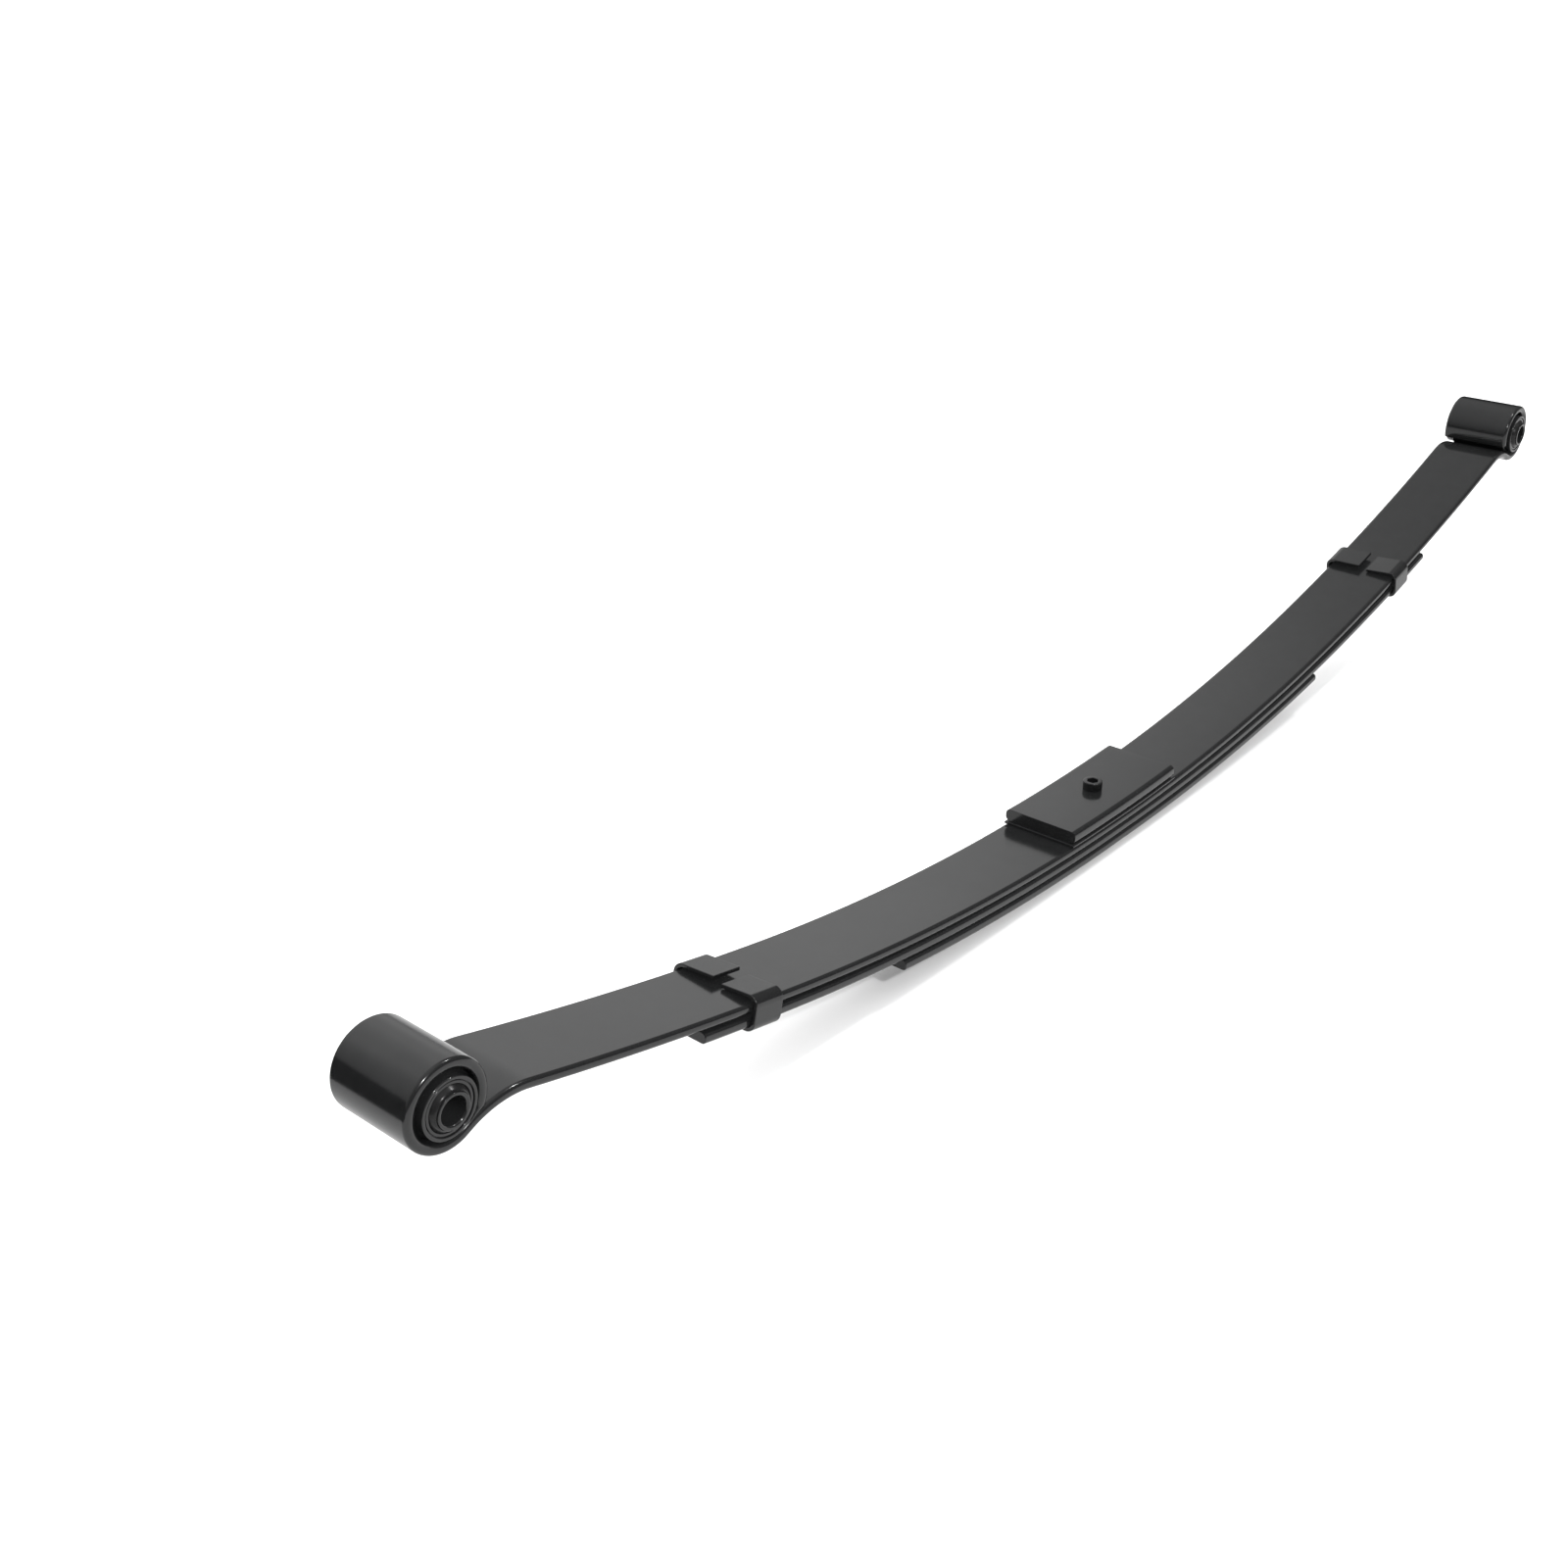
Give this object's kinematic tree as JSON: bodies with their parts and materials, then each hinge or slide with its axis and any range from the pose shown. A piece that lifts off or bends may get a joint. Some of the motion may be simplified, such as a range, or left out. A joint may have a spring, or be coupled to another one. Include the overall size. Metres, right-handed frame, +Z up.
{
  "type": "leaf spring",
  "caption": "Curved multi-leaf suspension spring with a rolled eye and rubber bush at each end, rebound clips and a bolted seat plate.",
  "frame": {"origin": "middle of the footprint, at the height of the lowest point, which is the lower face of the centre nut", "axes": "+X along the spring from the front eye to the rear eye, +Y across the leaves, +Z up, with both eyes curving up"},
  "size_m": [1.1566, 0.0582, 0.1538],
  "materials": {
    "spring_paint": "semi-gloss black paint over spring steel",
    "bolt_black": "semi-gloss black paint over a black steel bolt",
    "bush_rubber": "black moulded rubber with overspray of the same paint"
  },
  "bodies": {
    "centre_pack": {"main_leaf": "spring_paint", "second_leaf": "spring_paint", "third_leaf": "spring_paint", "seat_plate": "spring_paint", "seat_liner": "spring_paint", "centre_bolt": "bolt_black", "centre_nut": "bolt_black"},
    "front_half": {"front_clip": "spring_paint", "front_clip_rivet": "spring_paint", "front_outer_sleeve": "spring_paint", "front_rubber_bush": "bush_rubber"},
    "front_sleeve": {"front_inner_sleeve": "spring_paint"},
    "rear_half": {"rear_clip": "spring_paint", "rear_clip_rivet": "spring_paint", "rear_outer_sleeve": "spring_paint", "rear_rubber_bush": "bush_rubber"},
    "rear_sleeve": {"rear_inner_sleeve": "spring_paint"}
  },
  "joints": [
    {"name": "front_flex", "type": "hinge", "parent": "centre_pack", "child": "front_half", "pos_m": [-0.19953, 0, 0.032], "axis": [0, -1, 0], "range_deg": [-3, 9], "stiffness_Nm_per_rad": 600, "deforming": ["main_leaf", "second_leaf", "third_leaf"]},
    {"name": "front_sleeve_twist", "type": "hinge", "parent": "front_half", "child": "front_sleeve", "pos_m": [-0.55654, 0, 0.1111], "axis": [0, 1, 0], "range_deg": [-20, 20], "stiffness_Nm_per_rad": 20, "deforming": ["front_rubber_bush"]},
    {"name": "rear_flex", "type": "hinge", "parent": "centre_pack", "child": "rear_half", "pos_m": [0.16246, 0, 0.0335], "axis": [0, 1, 0], "range_deg": [-3, 9], "stiffness_Nm_per_rad": 545, "deforming": ["main_leaf", "second_leaf", "third_leaf"]},
    {"name": "rear_sleeve_twist", "type": "hinge", "parent": "rear_half", "child": "rear_sleeve", "pos_m": [0.55646, 0, 0.132], "axis": [0, 1, 0], "range_deg": [-20, 20], "stiffness_Nm_per_rad": 20, "deforming": ["rear_rubber_bush"]}
  ]
}
